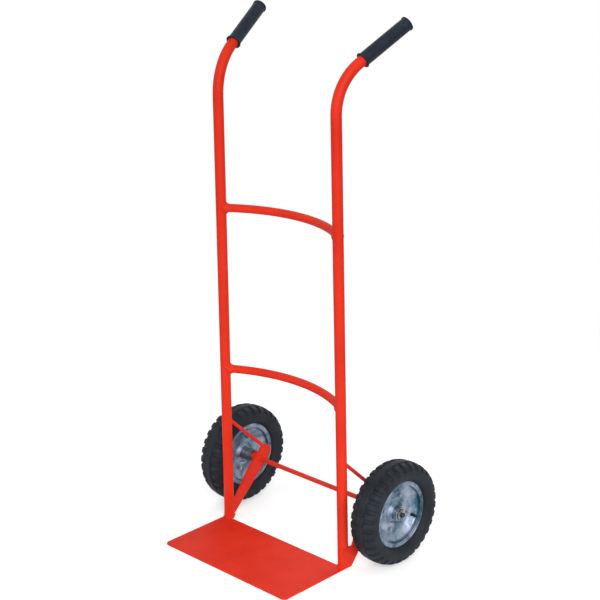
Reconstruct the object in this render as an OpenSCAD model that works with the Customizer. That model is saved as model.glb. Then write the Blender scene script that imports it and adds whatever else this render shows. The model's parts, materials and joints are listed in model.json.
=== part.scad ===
// Two-wheeled upright hand truck with a fixed toe plate, bowed crossbars and two pneumatic wheels.
// Millimetres, +Z up, +Y towards the operator, -Y towards the load. The origin is on the floor,
// at the middle of the footprint. "left" and "right" are as seen from the load side.

/* [Upright tubes] */
// Distance from an upright tube's axis, at floor level, to its wheel's middle plane
wheel_offset = 62.5; // [54:0.5:75]
// Inward lean of the upright tubes
upright_lean = 0.5; // [0:0.1:1.2]
// Outside diameter of the upright tubes
tube_d = 25.4; // [22:0.2:30]
// Wall of the upright tubes
tube_wall = 1.8; // [1.2:0.1:2.5]
// Height of the start of the handle bends above the floor
bend_start_z = 1089; // [950:1:1200]
// Centreline radius of the handle bends
bend_radius = 126; // [90:1:160]
// Angle that the handles are bent back from vertical
bend_angle = 60; // [40:1:75]
// Outward splay of each handle, seen from above
handle_splay = 13.8; // [0:0.2:18]

/* [Handle grips] */
// Length of a grip
grip_len = 139.5; // [100:0.5:160]
// Outside diameter of a grip
grip_d = 31.6; // [28:0.2:38]
// Bare straight tube between the bend and the grip
grip_start = 7.5; // [5:0.5:40]
// Thickness of the closed end of a grip
grip_cap_t = 6; // [3:0.5:10]
// Outside diameter of the rim at the open end of a grip
grip_rim_d = 37; // [34:0.2:42]
// Width of the rim at the open end of a grip
grip_rim_w = 4; // [2:0.5:8]
// Height of the rim at the closed end of a grip above its barrel
grip_end_lip = 1.5; // [0.5:0.5:4]
// Width of the rim at the closed end of a grip
grip_end_w = 4; // [2:0.5:8]
// Chamfer round the closed end of a grip
grip_chamfer = 1; // [0.5:0.5:1.5]

/* [Crossbars] */
// Outside diameter of the crossbars
bar_d = 20; // [15:0.5:22]
// Wall of the crossbars
bar_wall = 1.5; // [1:0.1:2]
// Height of the upper crossbar above the floor
upper_bar_z = 818; // [700:1:900]
// Height of the lower crossbar above the floor
lower_bar_z = 408; // [330:1:500]
// Backward bow of the upper crossbar at its middle
upper_bar_bow = 63; // [30:1:80]
// Backward bow of the lower crossbar at its middle
lower_bar_bow = 55; // [30:1:80]
// Leg of the weld fillet where a crossbar meets an upright
fillet_leg = 4; // [2:0.5:6]

/* [Toe plate] */
// Thickness of the toe plate
plate_t = 4; // [3:0.5:6]
// Reach of the toe plate in front of the upright axes
plate_reach = 208; // [160:1:260]
// Overhang of the toe plate outside the upright axes
plate_overhang = 9.5; // [9:0.5:14]
// Distance of the rear edge in front of the upright axes, between the heels
plate_rear_setback = 5; // [0:0.5:8]
// Radius of the two front corners
plate_corner_r = 10; // [4:0.5:25]
// Width of a heel tab where it leaves the plate
heel_w = 21; // [18:0.5:28]
// Width of a heel tab's rear end
heel_end_w = 10; // [6:0.5:14]
// Reach of the heel tabs behind the upright axes
heel_reach = 21; // [18:0.5:28]

/* [Axle struts and braces] */
// Width of a strut
strut_w = 41; // [36:1:46]
// Plate thickness of a strut
strut_t = 5; // [3:0.5:8]
// Inward lean of a strut
strut_lean = 4; // [0:0.5:6]
// Reach of the rounded strut tip past the axle
strut_tip = 42; // [36:1:50]
// Distance of the arm's middle line in front of the upright axes, at floor level
arm_front = 8; // [4:0.5:12]
// Distance of the foot's front edge in front of the upright axes
foot_front = 10; // [8:0.5:12]
// Height of the foot's top, on its front edge
foot_top_z = 58; // [50:1:64]
// Distance of the crotch between foot and arm from the axle, along the strut
crotch_reach = 115; // [110:1:120]
// Distance of the crotch below the arm's front edge
crotch_depth = 12; // [6:0.5:14]
// Length over which the arm widens from the crotch
arm_taper_len = 70; // [40:1:90]
// Diameter of the brace rods
brace_d = 9; // [6:0.5:10]
// Height of the brace rods at the upright axes
brace_top_z = 276; // [250:1:320]
// Distance of a brace rod's foot from the axle, along the strut
brace_foot = 31.5; // [28:0.5:35]

/* [Axle] */
// Diameter of the axle
axle_d = 12; // [10:0.5:14]
// Distance of the axle behind the upright axes
axle_back = 111.5; // [90:0.5:130]
// Outside diameter of the spacer collars
collar_d = 26; // [22:0.5:30]
// Outside diameter of the axle washers
washer_d = 24; // [20:0.5:28]
// Thickness of the axle washers
washer_t = 2.5; // [1.5:0.1:3]
// Wire diameter of the split pins
pin_d = 3; // [2:0.1:4]
// Length of axle outside the middle of the split pin
axle_tail = 5; // [4:0.5:8]

/* [Wheels] */
// Outside diameter of the tyres
wheel_d = 254; // [230:1:280]
// Width of the tyres
tyre_w = 73; // [64:0.5:80]
// Distance between the middle planes of the wheels
wheel_track = 520; // [440:1:600]
// Diameter over the rim flanges
rim_d = 165.4; // [150:0.2:180]
// Width over the rim flanges
rim_w = 44; // [38:0.5:48]
// Height of the rim flanges above the bead seats
flange_h = 9; // [7:0.5:11]
// Sheet thickness of the rims
rim_t = 2; // [1.5:0.1:2.5]
// Bend radius of a rim from its dish to its bead seat
dish_bend_r = 7; // [3:0.5:9]
// Rubber thickness of the sidewalls
sidewall_t = 5; // [3.5:0.5:7]
// Rubber thickness under the tread
tread_t = 10; // [8:0.5:13]
// Depth of the tread pattern
tread_depth = 3.4; // [2:0.1:5]
// Number of shoulder lugs on each side of a tyre
lug_count = 32; // [24:1:40]
// Width of the gap between two shoulder lugs
lug_gap = 9; // [6:0.5:12]
// Rubber wall of the inner tubes
inner_tube_wall = 1.5; // [1:0.1:2.5]

/* [Hubs and bearings] */
// Outside diameter of the hub barrels
hub_d = 33; // [32:0.5:38]
// Length of a hub from the wheel's middle plane towards the frame
hub_inner_len = 41; // [38:0.5:50]
// Length of a hub from the wheel's middle plane outwards
hub_outer_len = 21.5; // [18:0.5:26]
// Outside diameter of the hub flange, between the rim halves
hub_flange_d = 100; // [96:1:102]
// Thickness of the hub flange
hub_flange_t = 2.5; // [2:0.1:4]
// Outside diameter of the ball bearings
bearing_d = 28; // [27:0.5:29]
// Width of the ball bearings
bearing_w = 8; // [7:0.5:9]
// Number of balls in a bearing
ball_count = 8; // [6:1:8]
// Pitch circle diameter of the rim bolts
bolt_pcd = 84; // [80:0.5:86]
// Number of rim bolts in a wheel
bolt_count = 4; // [3:1:6]
// Thread diameter of the rim bolts
bolt_d = 6; // [5:0.5:7]
// Angle of the valve round the wheel, from the back downwards
valve_angle = 24; // [0:1:90]
// Diameter of the valve stems
valve_d = 8; // [6:0.5:8.5]
// Distance of the valve from the axle's axis
valve_r = 62; // [60:0.5:63]

/* [Clearances] */
// Gap between pieces that are welded or pressed together
weld_gap = 0.1; // [0.05:0.05:0.2]
// Radial running clearance of the bearings on the axle
run_gap = 0.05; // [0.02:0.01:0.08]
// Gap between pieces that rest on each other across a joint
seat_gap = 0.3; // [0.2:0.05:0.4]

/* [Hidden] */

LEFT = -1;
RIGHT = 1;
$fn = 96;

paint = [0.89, 0.22, 0.15];
rubber = [0.16, 0.17, 0.19];
tyre_rubber = [0.22, 0.23, 0.25];
zinc = [0.62, 0.66, 0.72];
steel = [0.55, 0.56, 0.58];

// Frame positions, worked out from the sizes above
wheel_x = wheel_track / 2;
upright_x = wheel_x - wheel_offset;
tube_r = tube_d / 2;
bar_r = bar_d / 2;
wheel_r = wheel_d / 2;
axle_z = wheel_r;
upright_y = -(axle_back + wheel_r - plate_reach) / 2;
axle_y = upright_y + axle_back;
handle_len = grip_start + grip_len - grip_cap_t - weld_gap;
plate_half_w = upright_x + plate_overhang;
bend_swell = 0.05;
bend_lap = 1;

// Strut: its own axis runs from the foot, at floor level, to the axle
strut_angle = atan2(axle_z, axle_back + arm_front);
strut_len = norm([axle_z, axle_back + arm_front]);
strut_r = strut_w / 2;
strut_outer_x = plate_half_w - axle_z * tan(strut_lean);

// Wheel: distances along the axle, measured from the wheel's middle plane
flange_x = rim_w / 2;
flange_r = rim_d / 2;
seat_r = flange_r - flange_h;
floor_margin = 1;
floor_r = hub_flange_d / 2 + floor_margin;
floor_x = hub_flange_t / 2;
cone_w = 11;
cone_r = hub_d / 2 + cone_w;
cone_h = 6;
collar_h = 4;
roll_r = 1.8;
roll_steps = 10;
seat_len = 10;
wall_top_x = flange_x - seat_len;
valve_inset = 11;
valve_end_x = flange_x - valve_inset;

floor_bend_r = 12;
bend_steps = 6;

// Tyre section: an ellipse below its widest point and a squarer curve above it. The ellipse of the
// outside starts beside the rim's rolled edge, and that of the cavity a sidewall inside the bead
widest_r = seat_r + (wheel_r - seat_r) / 2;
crown_h = wheel_r - widest_r;
crown_power = 2.7;
groove_x = 11;
groove_w = 4;
bead_w = 8;
bead_h = 6;
bead_x = flange_x - rim_t / 2 - roll_r - seat_gap;
bead_shoulder = 6.3;
edge_r = flange_r + seat_gap;
wall_x = tyre_w / 2;
lower_h = lower_height(wall_x, bead_x + bead_shoulder);
cavity_x = wall_x - sidewall_t;
cavity_lower_h = lower_height(cavity_x, bead_x - sidewall_t);
tube_bottom_r = widest_r - cavity_lower_h + seat_gap;
curve_steps = 8;

// Fasteners
bolt_head_w = 1.65 * bolt_d;
bolt_head_h = 0.65 * bolt_d;
nut_h = 0.8 * bolt_d;
clamp_t = hub_flange_t + 2 * rim_t;
bolt_tail = 2;

// Bearings: the inner ring runs on the axle
bearing_bore_r = axle_d / 2 + run_gap;
ball_pitch_r = (bearing_d / 2 + bearing_bore_r) / 2;
ball_r = 0.3 * (bearing_d / 2 - bearing_bore_r);
ring_gap = 0.75 * ball_r;
ball_play = 0.02;
bearing_inset = 0.5;

// Stations along the axle, from the frame outwards
hub_inner_end = wheel_x - hub_inner_len;
hub_outer_end = wheel_x + hub_outer_len;
inner_washer_x = hub_inner_end - seat_gap - washer_t;
outer_washer_x = hub_outer_end + seat_gap;
pin_x = outer_washer_x + washer_t + pin_d / 2 + weld_gap;
axle_end_x = pin_x + axle_tail;

// Point on a superellipse quarter: a along the axle, b in radius, t from 0 at the side to 90 at the top
function curve_point(a, b, power, t) =
    [pow(sin(t), 2 / power) * b, pow(cos(t), 2 / power) * a];

// Height of an ellipse of half-width a below the widest point, which is start_x wide at the edge radius
function lower_height(a, start_x) = (widest_r - edge_r) / sqrt(1 - pow(start_x / a, 2));

// Lines of the right half of the tyre, from beside the rim flange to the crown
function lower_curve(a, b) =
    [for (i = [0:curve_steps]) let (r = edge_r + (widest_r - edge_r) * i / curve_steps)
        [r, a * sqrt(1 - pow((widest_r - r) / b, 2))]];
function upper_curve(a, b) =
    [for (i = [1:curve_steps]) let (p = curve_point(a, b, crown_power, 90 * i / curve_steps))
        [widest_r + p[0], p[1]]];
function mirrored_line(points) =
    [for (i = [len(points) - 1:-1:0]) [points[i][0], -points[i][1]]];

// Points of a rounded corner at b, on the arc of radius r that touches the lines to a and to c
function rounded(a, b, c, r) =
    let (u = (a - b) / norm(a - b),
        v = (c - b) / norm(c - b),
        half = acos(u * v) / 2,
        middle = b + (u + v) / norm(u + v) * r / sin(half),
        first = b + u * r / tan(half) - middle,
        turn = cross(u, v) < 0 ? 1 : -1)
    [for (i = [0:bend_steps]) let (t = turn * (180 - 2 * half) * i / bend_steps)
        middle + [first[0] * cos(t) - first[1] * sin(t), first[0] * sin(t) + first[1] * cos(t)]];

module on_side(side) {
    if (side < 0)
        mirror([1, 0, 0]) children();
    else
        children();
}

// Turns a profile drawn as [radius, distance along the axle] about the wheel's axis
module spin_about_axle() {
    rotate([0, 90, 0]) rotate_extrude() children();
}

module at_wheel(side) {
    on_side(side) translate([wheel_x, axle_y, axle_z]) children();
}

module along_axle(side, from_x) {
    on_side(side) translate([from_x, axle_y, axle_z]) rotate([0, 90, 0]) children();
}

// Children sit round the wheel's axis at a radius; +X stays outwards
module round_wheel(count, radius, start_angle) {
    for (i = [0:count - 1])
        rotate([start_angle + 360 * i / count, 0, 0]) translate([0, radius, 0]) children();
}

module tube_section(outer_r, wall) {
    difference() {
        circle(r = outer_r);
        circle(r = outer_r - wall);
    }
}

// ---- Upright tubes ----

// Children stand at the foot of an upright, at floor level, with +Z along the tube
module at_upright(side) {
    on_side(side)
        translate([upright_x, upright_y, 0]) rotate([0, -upright_lean, 0]) children();
}

// Children lie in the plane of the handle bend: +X towards the upright from the bend's centre
module at_bend(side) {
    at_upright(side)
        translate([0, 0, bend_start_z])
            rotate([0, 0, 270 - handle_splay])
                translate([-bend_radius, 0, 0])
                    rotate([90, 0, 0])
                        children();
}

// Children sit at the end of the handle bend, with +Z along the handle
module at_handle(side) {
    at_bend(side)
        rotate([0, 0, bend_angle])
            translate([bend_radius, 0, 0])
                rotate([-90, 0, 0])
                    children();
}

// The upright's centreline as a solid bar; the bend is a touch fatter, so that the straights end inside it
module upright_bar(side, r) {
    at_upright(side) cylinder(h = bend_start_z + bend_lap, r = r);
    at_bend(side)
        rotate_extrude(angle = bend_angle) translate([bend_radius, 0]) circle(r = r + bend_swell);
    at_handle(side)
        translate([0, 0, -bend_lap]) cylinder(h = handle_len + bend_lap, r = r);
}

// The tube is cut away on its outer side, where the strut's foot is welded over it
module upright(side) {
    bore_r = tube_r - tube_wall;
    difference() {
        upright_bar(side, tube_r);
        upright_bar(side, bore_r);
        at_handle(side) translate([0, 0, handle_len - 1]) cylinder(h = 2, r = bore_r);
        at_strut(side) translate([0, 0, -weld_gap]) linear_extrude(tube_d) strut_foot_outline();
        on_side(side) translate([0, upright_y - tube_d, -tube_d])
            cube([2 * upright_x, 2 * tube_d, tube_d + plate_t]);
    }
}

// What is cut away where another piece is welded to an upright
module upright_cope(side) {
    at_upright(side) cylinder(h = bend_start_z, r = tube_r + weld_gap);
}

module upright_left() color(paint) upright(LEFT);
module upright_right() color(paint) upright(RIGHT);

// ---- Handle grips ----

module grip(side) {
    end_d = grip_d + 2 * grip_end_lip;
    at_handle(side) translate([0, 0, grip_start]) difference() {
        union() {
            cylinder(h = grip_rim_w, d = grip_rim_d);
            cylinder(h = grip_len - grip_end_w / 2, d = grip_d);
            translate([0, 0, grip_len - grip_end_w])
                cylinder(h = grip_end_w - grip_chamfer, d = end_d);
            translate([0, 0, grip_len - grip_chamfer])
                cylinder(h = grip_chamfer, d1 = end_d, d2 = end_d - 2 * grip_chamfer);
        }
        translate([0, 0, -1])
            cylinder(h = grip_len - grip_cap_t + 1, r = tube_r + weld_gap);
    }
}

module grip_left() color(rubber) grip(LEFT);
module grip_right() color(rubber) grip(RIGHT);

// ---- Crossbars ----

// A bowed tube, coped to the uprights, with a weld fillet at each end
module crossbar(z, bow) {
    half_span = upright_x - z * tan(upright_lean);
    arc_r = (pow(half_span, 2) + pow(bow, 2)) / (2 * bow);
    half_angle = asin(half_span / arc_r);
    fillet_angle = asin((tube_r - fillet_leg) / arc_r);
    fillet_len = 3 * fillet_leg;
    difference() {
        translate([0, upright_y + bow - arc_r, z]) difference() {
            union() {
                rotate([0, 0, 90 - half_angle])
                    rotate_extrude(angle = 2 * half_angle) translate([arc_r, 0]) circle(r = bar_r);
                for (side = [LEFT, RIGHT])
                    on_side(side)
                        rotate([0, 0, 90 - half_angle + fillet_angle])
                            translate([arc_r, 0, 0])
                                rotate([-90, 0, 0])
                                    cylinder(h = fillet_len, r1 = bar_r + fillet_leg, r2 = bar_r);
            }
            rotate([0, 0, 90 - half_angle])
                rotate_extrude(angle = 2 * half_angle)
                    translate([arc_r, 0]) circle(r = bar_r - bar_wall);
        }
        upright_cope(LEFT);
        upright_cope(RIGHT);
    }
}

module crossbar_upper() color(paint) crossbar(upper_bar_z, upper_bar_bow);
module crossbar_lower() color(paint) crossbar(lower_bar_z, lower_bar_bow);

// ---- Toe plate ----

module toe_plate_outline() {
    blade_len = plate_reach - plate_rear_setback;
    difference() {
        translate([-plate_half_w, -plate_reach]) square([2 * plate_half_w, blade_len]);
        for (side = [LEFT, RIGHT])
            translate([side * (plate_half_w - plate_corner_r), plate_corner_r - plate_reach])
                difference() {
                    translate([side > 0 ? 0 : -2 * plate_corner_r, -2 * plate_corner_r])
                        square(2 * plate_corner_r);
                    circle(r = plate_corner_r);
                }
    }
    for (side = [LEFT, RIGHT]) polygon(heel_points(side));
}

// A tab behind the plate, which carries an upright's foot and a strut's foot
function heel_points(side) =
    let (root_y = -plate_rear_setback - plate_t,
        right = [
            [plate_half_w - heel_w, root_y], [plate_half_w, root_y],
            [plate_half_w, heel_reach], [plate_half_w - heel_end_w, heel_reach],
            [plate_half_w - heel_w, plate_t]])
    side > 0 ? right : [for (i = [len(right) - 1:-1:0]) [-right[i][0], right[i][1]]];

module toe_plate() {
    color(paint)
        translate([0, upright_y, 0]) linear_extrude(plate_t) toe_plate_outline();
}

// ---- Axle struts and braces ----

// Children lie on the strut's inner face, about the axle: +X back, +Y up and +Z outwards
module at_strut(side) {
    on_side(side)
        translate([strut_outer_x, axle_y, axle_z])
            rotate([0, -strut_lean, 0])
                translate([-strut_t, 0, 0])
                    rotate([0, 90, 0]) rotate([0, 0, 90])
                        children();
}

// A point on the strut: distance along its arm from the axle, and distance in front of the arm's middle
function strut_point(along, across) =
    [along * cos(strut_angle) - across * sin(strut_angle),
     along * sin(strut_angle) + across * cos(strut_angle)];

// The part of a strut that stands over the upright's foot, from its crotch round to the floor
function strut_foot_points() = [
    strut_point(-crotch_reach, strut_r - crotch_depth),
    [-axle_back - foot_front, foot_top_z - axle_z],
    [-axle_back - foot_front, -axle_z]];

module strut_foot_outline() {
    polygon(concat(strut_foot_points(), [[strut_foot_points()[0][0], -axle_z]]));
}

module strut_outline() {
    tip_along = strut_tip - strut_r;
    polygon(concat(strut_foot_points(), [
        strut_point(-strut_len, -strut_r), strut_point(tip_along, -strut_r),
        strut_point(tip_along, strut_r), strut_point(arm_taper_len - crotch_reach, strut_r)]));
    translate(strut_point(tip_along, 0)) circle(r = strut_r);
}

// A flat bracket from the toe plate, over the cut side of the upright's foot, to the axle
module axle_strut(side) {
    difference() {
        at_strut(side) linear_extrude(strut_t) strut_outline();
        along_axle(side, 0) cylinder(h = 2 * upright_x, r = axle_d / 2 + weld_gap);
        on_side(side) translate([0, upright_y - strut_len, plate_t - strut_len])
            cube([2 * upright_x, 2 * strut_len, strut_len]);
    }
}

module axle_strut_left() color(paint) axle_strut(LEFT);
module axle_strut_right() color(paint) axle_strut(RIGHT);

// A round bar from the back of the upright to the edge of the strut's tip
module brace_rod(side) {
    foot_y = axle_back + brace_foot * cos(strut_angle);
    foot_z = axle_z + brace_foot * sin(strut_angle);
    drop_angle = atan2(foot_z - brace_top_z, foot_y);
    difference() {
        on_side(side) translate([upright_x - brace_top_z * tan(upright_lean), upright_y, brace_top_z])
            rotate([drop_angle - 90, 0, 0])
                cylinder(h = norm([foot_y, foot_z - brace_top_z]), d = brace_d);
        upright_cope(side);
        at_strut(side) rotate(strut_angle) translate([strut_tip - strut_r, 0, -2 * brace_d])
            cylinder(h = 4 * brace_d, r = strut_r + weld_gap);
    }
}

module brace_rod_left() color(paint) brace_rod(LEFT);
module brace_rod_right() color(paint) brace_rod(RIGHT);

// ---- Axle and what is on it ----

module axle() {
    chamfer = 1;
    shank = 2 * (axle_end_x - chamfer);
    color(paint) difference() {
        translate([0, axle_y, axle_z]) rotate([0, 90, 0]) {
            cylinder(h = shank, d = axle_d, center = true);
            for (side = [LEFT, RIGHT])
                mirror([0, 0, side > 0 ? 0 : 1])
                    translate([0, 0, shank / 2])
                        cylinder(h = chamfer, d1 = axle_d, d2 = axle_d - 2 * chamfer);
        }
        for (side = [LEFT, RIGHT])
            translate([side * pin_x, axle_y, axle_z])
                cylinder(h = 2 * axle_d, r = pin_d / 2 + weld_gap, center = true);
    }
}

// A sleeve whose inner end is cut to the leaning face of the strut
module spacer_collar(side) {
    difference() {
        along_axle(side, strut_outer_x - strut_t)
            cylinder(h = inner_washer_x - weld_gap - strut_outer_x + strut_t, d = collar_d);
        along_axle(side, 0) cylinder(h = inner_washer_x, r = axle_d / 2 + weld_gap);
        at_strut(side) translate([-strut_r, -strut_r, -strut_w])
            cube([strut_w, strut_w, strut_w + strut_t + weld_gap]);
    }
}

module spacer_collar_left() color(paint) spacer_collar(LEFT);
module spacer_collar_right() color(paint) spacer_collar(RIGHT);

module axle_washers(side) {
    for (x = [inner_washer_x, outer_washer_x])
        along_axle(side, x) linear_extrude(washer_t)
            tube_section(washer_d / 2, washer_d / 2 - axle_d / 2 - weld_gap);
}

module axle_washers_left() color(zinc) axle_washers(LEFT);
module axle_washers_right() color(zinc) axle_washers(RIGHT);

// A split pin: an eye above the axle, a shank through it and two spread legs below
module split_pin(side) {
    pin_r = pin_d / 2;
    eye_r = pin_d;
    leg_len = 7;
    leg_spread = 25;
    on_side(side) translate([pin_x, axle_y, axle_z]) {
        translate([0, 0, axle_d / 2 + eye_r + pin_r])
            rotate([0, 90, 0]) rotate_extrude() translate([eye_r, 0]) circle(r = pin_r / 2);
        translate([0, 0, -axle_d / 2 - pin_r])
            cylinder(h = axle_d + 2 * pin_r + pin_r / 2, r = pin_r);
        translate([0, 0, -axle_d / 2 - pin_r])
            for (lean = [-leg_spread, leg_spread])
                rotate([180 + lean, 0, 0]) cylinder(h = leg_len, r = pin_r / 2);
        translate([0, 0, -axle_d / 2 - pin_r]) sphere(r = pin_r);
    }
}

module split_pin_left() color(zinc) split_pin(LEFT);
module split_pin_right() color(zinc) split_pin(RIGHT);

// ---- Tyres and inner tubes ----

module tyre_section() {
    outer = concat(
        [[seat_r + weld_gap, bead_x - bead_w], [seat_r + weld_gap, bead_x], [edge_r, bead_x]],
        lower_curve(wall_x, lower_h),
        upper_curve(wall_x, crown_h));
    cavity = concat(
        [[0, bead_x - bead_w], [seat_r + bead_h, bead_x - bead_w]],
        lower_curve(cavity_x, cavity_lower_h),
        upper_curve(cavity_x, crown_h - tread_t));
    difference() {
        polygon(concat(outer, mirrored_line(outer)));
        polygon(concat(cavity, mirrored_line(cavity)));
        for (side = [LEFT, RIGHT])
            translate([wheel_r - tread_depth, side * groove_x - groove_w / 2])
                square([2 * tread_depth, groove_w]);
    }
}

// The space between two shoulder lugs, as an outline in the plane of the axle
module lug_gap_outline() {
    floor_line = concat(
        [[wheel_r - tread_depth, groove_x]],
        [for (i = [curve_steps:-1:2])
            let (p = curve_point(wall_x - tread_depth, crown_h - tread_depth, crown_power,
                    90 * i / (curve_steps + 1)))
                [widest_r + p[0], p[1]]]);
    polygon(concat(floor_line,
        [[floor_line[len(floor_line) - 1][0], tyre_w], [wheel_r + tread_depth, tyre_w],
            [wheel_r + tread_depth, groove_x]]));
}

module tyre(side) {
    pitch = 360 / lug_count;
    at_wheel(side) difference() {
        spin_about_axle() tyre_section();
        for (flank = [0, 1])
            mirror([flank, 0, 0])
                for (i = [0:lug_count - 1])
                    rotate([pitch * (i + flank / 2), 0, 0])
                        rotate([0, 90, 0])
                            rotate([90, 0, 0])
                                linear_extrude(lug_gap, center = true) lug_gap_outline();
    }
}

module tyre_left() color(tyre_rubber) tyre(LEFT);
module tyre_right() color(tyre_rubber) tyre(RIGHT);

module inner_tube_outline(inset) {
    half_w = cavity_x - seat_gap - inset;
    top_h = crown_h - tread_t - seat_gap - inset;
    low_h = widest_r - tube_bottom_r - inset;
    line = concat(
        [for (i = [0:curve_steps]) let (a = 90 - 90 * i / curve_steps)
            [widest_r - low_h * sin(a), half_w * cos(a)]],
        upper_curve(half_w, top_h));
    polygon(concat(line, mirrored_line(line)));
}

module inner_tube(side) {
    at_wheel(side) spin_about_axle() difference() {
        inner_tube_outline(0);
        inner_tube_outline(inner_tube_wall);
    }
}

module inner_tube_left() color(rubber) inner_tube(LEFT);
module inner_tube_right() color(rubber) inner_tube(RIGHT);

// ---- Rims ----

// One pressed half, drawn as [radius, distance from the wheel's middle plane]
module rim_section() {
    collar_r = hub_d / 2 + weld_gap;
    wall_angle = atan2(wall_top_x - rim_t - floor_x, seat_r - rim_t - floor_r);
    cone_angle = atan2(cone_h, cone_r - collar_r - rim_t);
    floor_bend = rim_t * tan(wall_angle / 2);
    seat_bend = rim_t * tan((90 - wall_angle) / 2);
    cone_bend = rim_t * tan(cone_angle / 2);
    lip_r = flange_r - roll_r;
    cone_foot = [cone_r, floor_x + rim_t];
    floor_edge = [floor_r, floor_x + rim_t];
    wall_top = [seat_r - rim_t, wall_top_x];
    seat_end = [seat_r - rim_t, flange_x];
    face = concat(
        [[collar_r + rim_t, floor_x + rim_t + cone_h + collar_h],
            [collar_r + rim_t, floor_x + rim_t + cone_h],
            cone_foot],
        rounded(cone_foot, floor_edge, wall_top, floor_bend_r),
        rounded(floor_edge, wall_top, seat_end, dish_bend_r),
        [seat_end]);
    lip_start = 180 - asin(rim_t / 2 / roll_r);
    lip = [for (i = [0:roll_steps]) let (a = lip_start * (1 - 2 * i / roll_steps))
        [lip_r + roll_r * cos(a), flange_x - rim_t / 2 + roll_r * sin(a)]];
    back_seat_end = [seat_r, flange_x - rim_t];
    back_wall_top = [seat_r, wall_top_x - seat_bend];
    back_floor_edge = [floor_r + floor_bend, floor_x];
    back_cone_foot = [cone_r - cone_bend, floor_x];
    back = concat(
        [back_seat_end],
        rounded(back_seat_end, back_wall_top, back_floor_edge, dish_bend_r + rim_t),
        rounded(back_wall_top, back_floor_edge, back_cone_foot, floor_bend_r + rim_t),
        [back_cone_foot,
            [collar_r, floor_x + cone_h + rim_t / 2],
            [collar_r, floor_x + rim_t + cone_h + collar_h]]);
    polygon(concat(face, lip, back));
}

module rim_half(facing) {
    bolt_hole_r = bolt_d / 2 + seat_gap;
    difference() {
        on_side(facing) spin_about_axle() rim_section();
        round_wheel(bolt_count, bolt_pcd / 2, -valve_angle)
            rotate([0, 90, 0]) cylinder(h = rim_w, r = bolt_hole_r, center = true);
        if (facing > 0)
            round_wheel(1, valve_r, -valve_angle)
                rotate([0, 90, 0]) cylinder(h = rim_w, r = valve_d / 2 + seat_gap);
    }
}

module rim_outer_left() color(zinc) at_wheel(LEFT) rim_half(1);
module rim_outer_right() color(zinc) at_wheel(RIGHT) rim_half(1);
module rim_inner_left() color(zinc) at_wheel(LEFT) rim_half(-1);
module rim_inner_right() color(zinc) at_wheel(RIGHT) rim_half(-1);

// ---- Hubs ----

module hub(side) {
    bearing_seat = bearing_w + bearing_inset;
    bearing_lip = 2;
    bore_r = bearing_d / 2 - bearing_lip;
    at_wheel(side) difference() {
        rotate([0, 90, 0]) {
            translate([0, 0, -hub_inner_len]) cylinder(h = hub_inner_len + hub_outer_len, d = hub_d);
            cylinder(h = hub_flange_t, d = hub_flange_d, center = true);
        }
        rotate([0, 90, 0]) {
            cylinder(h = 4 * hub_inner_len, r = bore_r, center = true);
            translate([0, 0, hub_outer_len - bearing_seat])
                cylinder(h = hub_outer_len, r = bearing_d / 2 + weld_gap);
            translate([0, 0, -2 * hub_inner_len + bearing_seat])
                cylinder(h = hub_inner_len, r = bearing_d / 2 + weld_gap);
        }
        round_wheel(bolt_count, bolt_pcd / 2, -valve_angle)
            rotate([0, 90, 0]) cylinder(h = 2 * hub_flange_t, r = bolt_d / 2 + seat_gap, center = true);
    }
}

module hub_left() color(zinc) hub(LEFT);
module hub_right() color(zinc) hub(RIGHT);

// ---- Ball bearings ----

module bearing_ring(inner_r, outer_r) {
    rotate_extrude() difference() {
        translate([inner_r, -bearing_w / 2]) square([outer_r - inner_r, bearing_w]);
        translate([ball_pitch_r, 0]) circle(r = ball_r + ball_play);
    }
}

module bearing(side, from_x) {
    along_axle(side, from_x + bearing_w / 2) {
        bearing_ring(bearing_bore_r, ball_pitch_r - ring_gap);
        bearing_ring(ball_pitch_r + ring_gap, bearing_d / 2);
        for (i = [0:ball_count - 1])
            rotate([0, 0, 360 * i / ball_count]) translate([ball_pitch_r, 0, 0]) sphere(r = ball_r);
    }
}

module bearing_outer_left() color(steel) bearing(LEFT, hub_outer_end - bearing_inset - bearing_w);
module bearing_outer_right() color(steel) bearing(RIGHT, hub_outer_end - bearing_inset - bearing_w);
module bearing_inner_left() color(steel) bearing(LEFT, hub_inner_end + bearing_inset);
module bearing_inner_right() color(steel) bearing(RIGHT, hub_inner_end + bearing_inset);

// ---- Rim fasteners ----

module rim_bolts(side) {
    at_wheel(side) round_wheel(bolt_count, bolt_pcd / 2, -valve_angle)
        translate([clamp_t / 2, 0, 0]) rotate([0, 90, 0]) {
            cylinder(h = bolt_head_h, d = bolt_head_w / cos(30), $fn = 6);
            translate([0, 0, -clamp_t - nut_h - bolt_tail])
                cylinder(h = clamp_t + nut_h + bolt_tail, d = bolt_d);
        }
}

module rim_nuts(side) {
    at_wheel(side) round_wheel(bolt_count, bolt_pcd / 2, -valve_angle)
        translate([-clamp_t / 2 - nut_h, 0, 0]) rotate([0, 90, 0]) difference() {
            cylinder(h = nut_h, d = bolt_head_w / cos(30), $fn = 6);
            translate([0, 0, -1]) cylinder(h = nut_h + 2, r = bolt_d / 2 + weld_gap);
        }
}

module rim_bolts_left() color(zinc) rim_bolts(LEFT);
module rim_bolts_right() color(zinc) rim_bolts(RIGHT);
module rim_nuts_left() color(zinc) rim_nuts(LEFT);
module rim_nuts_right() color(zinc) rim_nuts(RIGHT);

// ---- Valves ----

// The stem leaves the inner tube towards the axle, turns and runs out through the outer rim half
module valve_stem(side) {
    at_wheel(side) round_wheel(1, valve_r, -valve_angle) {
        rotate([-90, 0, 0]) cylinder(h = tube_bottom_r - valve_r - seat_gap, d = valve_d);
        sphere(d = valve_d);
        rotate([0, 90, 0]) cylinder(h = valve_end_x, d = valve_d);
        rotate([0, 90, 0]) cylinder(h = valve_end_x + valve_d, d = valve_d / 2);
    }
}

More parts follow.
